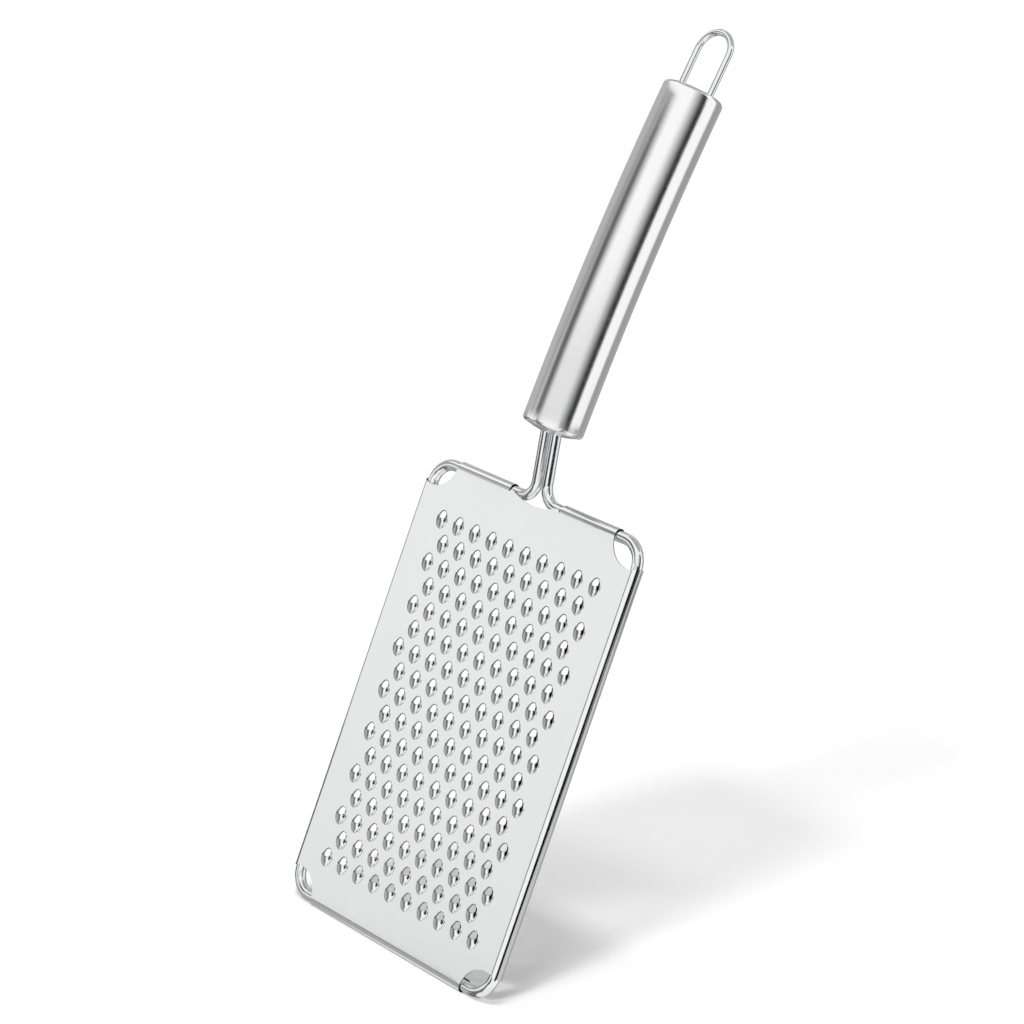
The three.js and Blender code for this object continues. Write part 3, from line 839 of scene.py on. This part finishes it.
# %% [markdown]
# ## The caps
# A cap starts as a circle for its rim and one for each hole. The upper one is flat, with a fill between
# the circles. The lower one is dished outwards, so its hole, a circle pulled apart to an oblong, is
# bridged to the rim and the bridge divided, which gives rings of points to push out. Both get the
# thickness of the disc and an eased rim.

# %% Cut the caps
CAP_RADIUS = 8.75
CAP_THICKNESS = 1.4
CAP_EASE = 0.25
EASE_STEPS = 2
HOLE_CLEARANCE = 0.15
HOLE_SIDES = 24
DISH_DEPTH = 1.5
DISH_RINGS = 5
LOOP_RADIUS = 1.1
LOOP_SPACING = 6.95


def draw_hole(shape, middle, radius, apart, sides):
    """A round hole whose two halves are pulled apart by some way along X."""
    half_step = Matrix.Rotation(math.pi / sides, 4, "Z")
    ring = new_ring(shape, radius, sides, half_step)
    for vert in {vert for edge in ring for vert in edge.verts}:
        vert.co.x += middle + math.copysign(apart, vert.co.x)
    return ring


def dish_out(shape, rim, hole):
    """Spans the rim and one hole with rings of faces and pushes them out along -Z, like a shallow dish."""
    spokes = bmesh.ops.bridge_loops(shape, edges=rim + hole)["edges"]
    bmesh.ops.subdivide_edges(shape, edges=spokes, cuts=DISH_RINGS, use_grid_fill=True)
    for vert in shape.verts:
        vert.co.z -= DISH_DEPTH * (1 - (vert.co.xy.length / CAP_RADIUS) ** 2)


def finish_cap(shape, place, inwards):
    """Gives a cap its thickness and eased rim and places it. Inwards is the way into the tube along Z."""
    bmesh.ops.recalc_face_normals(shape, faces=shape.faces)
    if sum(face.normal.z for face in shape.faces) * inwards > 0:
        bmesh.ops.reverse_faces(shape, faces=shape.faces)
    bmesh.ops.solidify(shape, geom=shape.faces[:], thickness=CAP_THICKNESS)
    rim = [edge for edge in shape.edges
           if all(vert.co.xy.length > CAP_RADIUS - TOLERANCE for vert in edge.verts)
           and abs(edge.verts[0].co.z - edge.verts[1].co.z) < TOLERANCE]
    bmesh.ops.bevel(shape, geom=rim, offset=CAP_EASE, offset_type="OFFSET", segments=EASE_STEPS,
                    profile=0.5, affect="EDGES", material=-1)
    mark_true_edges(shape)
    bmesh.ops.transform(shape, matrix=place, verts=shape.verts)


lower_cap = bmesh.new()
lower_rim = new_ring(lower_cap, CAP_RADIUS, TUBE_SIDES, Matrix.Rotation(math.pi / TUBE_SIDES, 4, "Z"))
neck_hole = draw_hole(lower_cap, 0, WIRE_RADIUS + 2 * HOLE_CLEARANCE, NECK_SPACING, TUBE_SIDES)
dish_out(lower_cap, lower_rim, neck_hole)
finish_cap(lower_cap, handle_place(0), 1)
add_piece("lower_spun_cap", lower_cap, lower_cap_finish, "brushed_tube", "lower_end_cap")

upper_cap = bmesh.new()
upper_rims = new_ring(upper_cap, CAP_RADIUS, TUBE_SIDES, Matrix.Identity(4))
for side in (-1, 1):
    upper_rims += draw_hole(upper_cap, side * LOOP_SPACING, LOOP_RADIUS + HOLE_CLEARANCE, 0, HOLE_SIDES)
bmesh.ops.triangle_fill(upper_cap, use_beauty=True, edges=upper_rims)
finish_cap(upper_cap, handle_place(HANDLE_LENGTH), -1)
add_piece("upper_spun_cap", upper_cap, upper_cap_finish, "brushed_tube", "upper_end_cap")

# %% [markdown]
# ## The hanging loop
# A thinner wire of the same finish goes up out of the cap, over a half circle and down again. It is
# bent like the frame, with two quarter bends whose radius is half the loop's width, so that they join
# in one round crown.

# %% Bend the loop
LOOP_SIDES = 20
LOOP_HEIGHT = 22.2
LOOP_FOOT = -8.5
crown = LOOP_HEIGHT - LOOP_RADIUS
loop_path = [
    Vector((-LOOP_SPACING, 0, LOOP_FOOT)),
    Vector((-LOOP_SPACING, 0, crown)),
    Vector((LOOP_SPACING, 0, crown)),
    Vector((LOOP_SPACING, 0, LOOP_FOOT)),
]
loop_shape = bend_wire(loop_path, [LOOP_SPACING, LOOP_SPACING], LOOP_RADIUS, LOOP_SIDES)
bmesh.ops.remove_doubles(loop_shape, verts=loop_shape.verts, dist=TOLERANCE)
bmesh.ops.transform(loop_shape, matrix=handle_place(HANDLE_LENGTH), verts=loop_shape.verts)
add_piece("wire_hanging_loop", loop_shape, bright_wire, "polished_wire", "hanging_loop")

# %% [markdown]
# ## Weld beads
# Welds hold the wires together in the neck and fix them behind the caps. A cleaned bead is duller than
# the wire and has small ripples. The bead in the neck's groove shows, so it is a round drop of its own,
# while the ones inside the handle keep their solids and take the same finish.

# %% Weld finish and beads
WELD_RIPPLE = (0.5 * MM,) * 3
BEAD_SIZE = Vector((2.0, 1.2, 4.4))
BEAD_RISE = 8
BEAD_DEPTH = 0.4
BEAD_SEGMENTS = 20
BEAD_RINGS = 12


def cleaned_weld():
    """A dull grey metal with small ripples."""
    material, tree = new_tree("cleaned_stainless_weld")
    coords = add_node(tree, "ShaderNodeTexCoord")
    place = add_node(tree, "ShaderNodeMapping", {"Vector": coords.outputs["Object"], "Scale": WELD_RIPPLE},
                     vector_type="TEXTURE")
    ripple = add_node(tree, "ShaderNodeTexNoise",
                      {"Vector": place.outputs["Vector"], "Scale": 1, "Detail": 2})
    end_in_steel(tree, linear("#D2D1CF"), ripple.outputs["Fac"], gloss=(0.25, 0.45),
                 dents=(0.4, 0.15 * MM))
    return material


weld_steel = cleaned_weld()
bead_middle = Vector((0, -BEAD_DEPTH, BEAD_RISE))
bead_place = (Matrix.Translation(neck_foot) @ Matrix.Rotation(NECK_LEAN, 4, "X")
              @ Matrix.Translation(bead_middle) @ Matrix.Diagonal((*(BEAD_SIZE / 2), 1)))
bead = bmesh.new()
bmesh.ops.create_uvsphere(bead, u_segments=BEAD_SEGMENTS, v_segments=BEAD_RINGS, radius=1,
                          matrix=bead_place)
add_piece("neck_groove_bead", bead, weld_steel, "weld_steel", "neck_weld")
for inner_weld in ("wire_weld", "loop_weld_left", "loop_weld_right"):
    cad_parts[inner_weld].data.materials.clear()
    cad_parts[inner_weld].data.materials.append(weld_steel)

# %% [markdown]
# ## Floor and white surroundings
# The grater stands on its lowest hem on matt white paper, in a white room. The world is white at
# strength 1 for the camera and for mirrors, and lower for the soft light that it sheds, which leaves
# room for the lamps. Mirror rays pass the paper, so that the cards below can go on beneath its level,
# as on a clear table.

# %% Floor and world
FLOOR_HALF = 20
PAPER_GRAIN = (2 * MM,) * 3
ROOM_LIGHT = 0.53


def matt_white_paper():
    """Even and without gloss, with a touch of fibre."""
    material, tree = new_tree("matt_white_paper")
    coords = add_node(tree, "ShaderNodeTexCoord")
    place = add_node(tree, "ShaderNodeMapping", {"Vector": coords.outputs["Object"], "Scale": PAPER_GRAIN},
                     vector_type="TEXTURE")
    fibre = add_node(tree, "ShaderNodeTexNoise", {"Vector": place.outputs["Vector"], "Scale": 1})
    bump = add_node(tree, "ShaderNodeBump",
                    {"Height": fibre.outputs["Fac"], "Strength": 0.03, "Distance": 0.05 * MM})
    paper = add_node(tree, "ShaderNodeBsdfDiffuse",
                     {"Color": linear("#FCFCFC"), "Normal": bump.outputs["Normal"]})
    add_node(tree, "ShaderNodeOutputMaterial", {"Surface": paper.outputs["BSDF"]})
    return material


def white_room():
    """White to the camera and to mirrors, about half as bright as a source of soft light."""
    world = bpy.data.worlds.new("white_room")
    world.use_nodes = True
    tree = world.node_tree
    tree.nodes.clear()
    path = add_node(tree, "ShaderNodeLightPath")
    mirror = add_node(tree, "ShaderNodeMath",
                      {0: path.outputs["Is Glossy Ray"], 1: path.outputs["Is Transmission Ray"]},
                      operation="MAXIMUM")
    seen = add_node(tree, "ShaderNodeMath", {0: path.outputs["Is Camera Ray"], 1: mirror.outputs["Value"]},
                    operation="MAXIMUM")
    level = add_node(tree, "ShaderNodeMapRange",
                     {"Value": seen.outputs["Value"], "To Min": ROOM_LIGHT, "To Max": 1.0})
    light = add_node(tree, "ShaderNodeBackground",
                     {"Color": linear("#FFFFFF"), "Strength": level.outputs["Result"]})
    add_node(tree, "ShaderNodeOutputWorld", {"Surface": light.outputs["Background"]})
    return world


floor_shape = bmesh.new()
floor_level = Matrix.Translation((0, 0, sheet_low.z))
bmesh.ops.create_grid(floor_shape, x_segments=1, y_segments=1, size=FLOOR_HALF, matrix=floor_level)
floor_mesh = bpy.data.meshes.new("paper_floor")
floor_shape.to_mesh(floor_mesh)
floor_shape.free()
floor_mesh.materials.append(matt_white_paper())
paper_floor = bpy.data.objects.new("paper_floor", floor_mesh)
paper_floor.visible_glossy = False
bpy.context.scene.collection.objects.link(paper_floor)
paper_floor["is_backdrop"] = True
bpy.context.scene.world = white_room()
print(f"Floor at {sheet_low.z:.4f} m")

# %% [markdown]
# ## Cards that the metal mirrors
# Bright metal looks like what stands round it, and in a bare white room it would vanish. So a
# photographer stands black and grey cards round the object, out of the picture. Each card here is a
# piece of a wide cylinder, given by the azimuths between which it stands and the heights of its edges.
# Only mirror rays see the cards. They glow as brightly as their shade says, so that they need no light
# of their own, and cast no shadow.

# %% Make a card
CARD_DISTANCE = 1.0
CARD_GAP = 0.02
CARD_STEP = math.radians(4)
CARD_SIDES = 48
CARD_FOOT = -1.3
CARD_HEAD = 1.3


def plain_card_finish(name, shade):
    """One even shade."""
    material, tree = new_tree(name)
    glow = add_node(tree, "ShaderNodeEmission", {"Color": linear(shade), "Strength": 1.0})
    add_node(tree, "ShaderNodeOutputMaterial", {"Surface": glow.outputs["Emission"]})
    return material


def graded_card_finish(name, shade, other_shade, up, across):
    """An even change from one shade to another, up the card in metres or across it in degrees."""
    material, tree = new_tree(name)
    coords = add_node(tree, "ShaderNodeTexCoord")
    parts = add_node(tree, "ShaderNodeSeparateXYZ", {"Vector": coords.outputs["Object"]})
    front = add_node(tree, "ShaderNodeMath", {0: parts.outputs["Y"], 1: -1.0}, operation="MULTIPLY")
    turned = add_node(tree, "ShaderNodeMath", {0: parts.outputs["X"], 1: front.outputs["Value"]},
                      operation="ARCTAN2")
    azimuth = add_node(tree, "ShaderNodeMath", {0: turned.outputs["Value"]}, operation="DEGREES")
    along = azimuth.outputs["Value"] if across else parts.outputs["Z"]
    start, stop = across or up
    share = add_node(tree, "ShaderNodeMapRange", {"Value": along, "From Min": start, "From Max": stop})
    mixed = add_node(tree, "ShaderNodeMix",
                     {"Factor": share.outputs["Result"], "A": linear(shade), "B": linear(other_shade)},
                     data_type="RGBA")
    glow = add_node(tree, "ShaderNodeEmission", {"Color": mixed.outputs["Result"], "Strength": 1.0})
    add_node(tree, "ShaderNodeOutputMaterial", {"Surface": glow.outputs["Emission"]})
    return material


def add_card(name, shape, finish):
    """Makes a card that only mirror rays see."""
    mesh = bpy.data.meshes.new(name)
    shape.to_mesh(mesh)
    shape.free()
    mesh.materials.append(finish)
    card = bpy.data.objects.new(name, mesh)
    card.visible_camera = False
    card.visible_diffuse = False
    card.visible_shadow = False
    bpy.context.scene.collection.objects.link(card)
    card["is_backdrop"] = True


def sweep_card(start, stop, low, high, distance, axis=Vector((0, 0, 0))):
    """An upright strip, swept between two azimuths at some distance from an axis."""
    shape = bmesh.new()
    begin = axis + distance * direction(math.radians(start), 0)
    foot = shape.verts.new(begin + Vector((0, 0, low)))
    head = shape.verts.new(begin + Vector((0, 0, high)))
    sweep = math.radians(stop - start)
    steps = max(1, round(sweep / CARD_STEP))
    upright_edge = shape.edges.new((foot, head))
    bmesh.ops.spin(shape, geom=[upright_edge], cent=axis, axis=(0, 0, 1), angle=sweep, steps=steps)
    return shape


def stand_card(name, start, stop, low, high, *shades, up=None, across=None, near=0):
    """Stands a card between two azimuths and two heights. Of two shades, one changes to the other."""
    shape = sweep_card(start, stop, low, high, CARD_DISTANCE - near * CARD_GAP)
    plain = len(shades) == 1
    finish = plain_card_finish(name, *shades) if plain else graded_card_finish(name, *shades, up, across)
    add_card(name, shape, finish)
    print(f"{name}: azimuth {start} to {stop}, height {low:.2f} to {high:.2f} m")


def lay_card(name, height, shade, middle=0, half_width=1):
    """Lays a round or oval card under or over the grater."""
    shape = bmesh.new()
    place = Matrix.Translation((middle, 0, height)) @ Matrix.Diagonal((half_width, 1, 1, 1))
    bmesh.ops.create_circle(shape, cap_ends=True, segments=CARD_SIDES, radius=CARD_DISTANCE, matrix=place)
    add_card(name, shape, plain_card_finish(name, shade))
    print(f"{name}: height {height} m")


print(f"Cards stand {CARD_DISTANCE} m from the grater's axis")

# %% [markdown]
# ## Cards on the left and in front
# The left side is grey and darker further down, but for a pale card that the flat of the sheet mirrors.
# The handle mirrors what stands level with it: two cards on the left that darken towards a middle line,
# a lighter stripe before them, and a grey card in front, below the handle's middle. A thin grey one
# draws the line between the flat and the right hem. The low cards show in the wires of the neck and the
# undersides of the hoods.

# %% Stand the cards on the left and in front
HANDLE_CARD_LOW = -0.19
HANDLE_CARD_HIGH = 0.27
UNDER_TABLE = -0.63
stand_card("grey_left_card", -150, -76, CARD_FOOT, 0.9, "#6A6A6A", "#BCBCBC", up=(-0.55, -0.1))
stand_card("pale_front_left_card", -76, -30, CARD_FOOT, CARD_HEAD, "#EEEEEE", "#FFFFFF", up=(-0.53, 0.1))
stand_card("hem_line_card", -27, -13, -0.55, -0.23, "#808080", near=1)
stand_card("handle_left_card", -136, -30, HANDLE_CARD_LOW, HANDLE_CARD_HIGH, "#B4B4B4", "#525252",
           across=(-72, -32), near=2)
stand_card("handle_stripe_card", -54, -41, HANDLE_CARD_LOW, HANDLE_CARD_HIGH, "#BCBCBC", "#9C9C9C",
           up=(-0.1, 0.06), near=3)
stand_card("handle_left_edge_card", -30, 0, HANDLE_CARD_LOW, HANDLE_CARD_HIGH, "#525252", "#FFFFFF",
           across=(-26, 2), near=2)
stand_card("handle_front_card", -12, 56, -0.22, 0.04, "#E2E2E2", "#FFFFFF", up=(-0.03, 0.04), near=3)
stand_card("low_left_card", -85, -62, -0.62, -0.4, "#5C5C5C", near=1)
stand_card("low_pale_left_card", -62, -40, -0.62, -0.56, "#5C5C5C", near=1)
stand_card("low_front_left_card", -40, 4, -0.76, -0.56, "#505050", near=1)
stand_card("lower_left_card", -150, -42, CARD_FOOT, UNDER_TABLE, "#ACACAC", near=2)
stand_card("lower_front_left_card", -42, -8, CARD_FOOT, UNDER_TABLE, "#747474", near=2)
stand_card("dark_upper_left_card", -112, -104, 0.77, CARD_HEAD, "#181818", near=1)
stand_card("dark_upper_front_left_card", -104, -84, 0.86, CARD_HEAD, "#181818", near=1)

# %% [markdown]
# ## Black lines on the right
# The right hem and the neck's wires each show one black line. A single tall black card could draw both,
# but then the whole sheet would mirror it from other sides and look black. So a narrow flag stands
# close to the hem, where the sheet hardly sees it. The wires of the neck lean forward, and what they
# mirror climbs to the right. A row of small cards follows that slope. The last two cards darken the
# handle's right side.

# %% Stand the black cards
BLACK_CARD = "#0C0C0C"
FLAG_DISTANCE = 0.03
FLAG_START = 46
FLAG_STOP = 77
FLAG_DROP = 0.004
NECK_CARD_START = 46
NECK_CARD_STOP = 100
NECK_CARD_WIDTH = 9
NECK_CARD_LEVEL = -0.562
NECK_CARD_CLIMB = 0.004
NECK_CARD_HEIGHT = 0.1
flag_axis = Vector((wire_x * MM, sheet_middle.y, 0))
flag_low = sheet_low.z - FLAG_DROP
flag_high = sheet_high.z - FLAG_DROP
hem_flag = sweep_card(FLAG_START, FLAG_STOP, flag_low, flag_high, FLAG_DISTANCE, flag_axis)
add_card("hem_flag", hem_flag, plain_card_finish("hem_flag", BLACK_CARD))
for start in range(NECK_CARD_START, NECK_CARD_STOP, NECK_CARD_WIDTH):
    stop = start + NECK_CARD_WIDTH
    low = NECK_CARD_LEVEL + NECK_CARD_CLIMB * (start - NECK_CARD_START)
    stand_card(f"neck_card_{start}", start, stop, low, low + NECK_CARD_HEIGHT, BLACK_CARD, near=3)
stand_card("handle_right_card", 42, 101, -0.24, 0.9, "#FFFFFF", "#202020", across=(42, 85), near=1)
stand_card("handle_right_foot_card", 62, 101, -0.29, -0.24, "#303030", near=2)

# %% [markdown]
# ## Cards behind, below and above
# The outer flanks of the hems and of the wires mirror what stands behind the grater, and their lower
# and upper sides what lies below and above it. A grey card that lies below on the left gives every hood
# its grey half.

# %% Stand and lay the other cards
stand_card("hem_back_right_card", 78, 148, -0.56, -0.24, "#CACACA", near=1)
stand_card("hem_end_card", 126, 146, -0.29, -0.245, "#202020", near=2)
stand_card("dark_back_right_card", 146, 176, CARD_FOOT, 0.9, "#9C9C9C")
stand_card("grey_back_card", 176, 210, CARD_FOOT, 0.9, "#B4B4B4", "#A4A4A4", up=(-0.55, -0.1))
lay_card("white_under_card", CARD_FOOT, "#F4F4F4")
lay_card("grey_under_left_card", CARD_FOOT + CARD_GAP, "#747474", middle=-0.52, half_width=0.27)
lay_card("grey_over_card", CARD_HEAD, "#B0B0B0")

# %% [markdown]
# ## The lamps
# Two lamps stand in front, right of the sheet, one above the other. The low one throws the long pale
# shadow that runs back along the floor, and the high one the short dark wedge at the corner. Sun lamps
# light the whole floor evenly, so that the paper stays white to the horizon, and their width in degrees
# sets how soon an edge softens. The metal does not mirror them, as a photographer would keep such
# glints out with a screen.

# %% Light the scene
def add_lamp(name, azimuth, elevation, width, strength):
    """A lamp far away in this direction, with all angles in degrees."""
    lamp_data = bpy.data.lights.new(name, "SUN")
    lamp_data.energy = strength
    lamp_data.angle = math.radians(width)
    lamp = bpy.data.objects.new(name, lamp_data)
    way = direction(math.radians(azimuth), math.radians(elevation))
    lamp.rotation_euler = way.to_track_quat("Z", "Y").to_euler()
    lamp.visible_glossy = False
    bpy.context.scene.collection.objects.link(lamp)
    print(f"{name}: azimuth {azimuth}, elevation {elevation}, strength {strength}")


add_lamp("low_front_lamp", azimuth=29.3, elevation=12.6, width=4, strength=3.2)
add_lamp("high_front_lamp", azimuth=30, elevation=42, width=10, strength=1.48)
bpy.context.scene.view_settings.view_transform = "Standard"

# %% [markdown]
# ## Measure and finish
# The dressed grater has to keep the size of its solids, so both boxes are written down side by side.

# %% Write the sizes and finish
boxes = {"solids": solid_box, "visual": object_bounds()}
for name, (low, high) in boxes.items():
    print(name, [round((high[i] - low[i]) / MM, 2) for i in range(3)], "mm")
